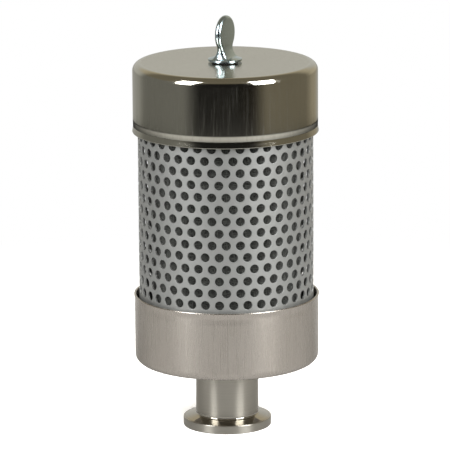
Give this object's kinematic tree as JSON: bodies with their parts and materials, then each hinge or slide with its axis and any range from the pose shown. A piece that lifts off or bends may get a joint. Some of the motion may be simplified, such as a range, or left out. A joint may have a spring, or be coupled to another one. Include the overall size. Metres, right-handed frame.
{
  "type": "exhaust filter",
  "caption": "Cylindrical vacuum pump exhaust filter: perforated drum between two drawn metal cups, thumb screw on top, clamp flange port below.",
  "frame": {"origin": "centre of the clamp flange's sealing face, on the axis", "axes": "+Z along the filter's axis, from the flange up to the thumb screw; -Y towards the viewer of the picture"},
  "size_m": [0.0842, 0.084, 0.189],
  "materials": {
    "cup_nickel": "satin nickel plate",
    "stub_steel": "turned, fine lathe lines",
    "drum_zinc": "matt zinc-coated sheet",
    "bright_zinc": "bright zinc plate",
    "rod_steel": "zinc plated",
    "disc_steel": "tinned sheet",
    "gasket_rubber": "moulded",
    "potting_resin": "cast",
    "media_fibre": "glass fibre",
    "wrap_felt": "dark felt",
    "screen_steel": "woven wire"
  },
  "bodies": {
    "base": {"base_cup": "cup_nickel", "flange_stub": "stub_steel", "inlet_spider": "rod_steel", "lock_washer": "rod_steel", "rod_nut": "rod_steel", "tie_rod": "rod_steel", "perforated_drum": "drum_zinc"},
    "cartridge": {"lower_gasket": "gasket_rubber", "lower_end_disc": "disc_steel", "upper_end_disc": "disc_steel", "core_tube": "disc_steel", "support_screen": "screen_steel", "lower_potting": "potting_resin", "upper_potting": "potting_resin", "filter_media": "media_fibre", "drain_wrap": "wrap_felt", "upper_gasket": "gasket_rubber"},
    "cap": {"top_cap": "cup_nickel"},
    "seal": {"seal_washer": "gasket_rubber"},
    "screw": {"thumb_screw": "bright_zinc"}
  },
  "joints": [
    {"name": "element_lift", "type": "slide", "parent": "base", "child": "cartridge", "axis": [0, 0, 1], "range_m": [0, 0.14]},
    {"name": "cap_lift", "type": "slide", "parent": "cartridge", "child": "cap", "axis": [0, 0, 1], "range_m": [0, 0.045]},
    {"name": "screw_rise", "type": "slide", "parent": "cap", "child": "seal", "axis": [0, 0, 1], "range_m": [0, 0.0128]},
    {"name": "screw_turn", "type": "hinge", "parent": "seal", "child": "screw", "pos_m": [0, 0, 0.16859], "axis": [0, 0, 1], "range_deg": [0, 3600]}
  ],
  "couplings": [
    {"joint": "screw_rise", "follows": "screw_turn", "m_per_rad": 0.00020213}
  ]
}
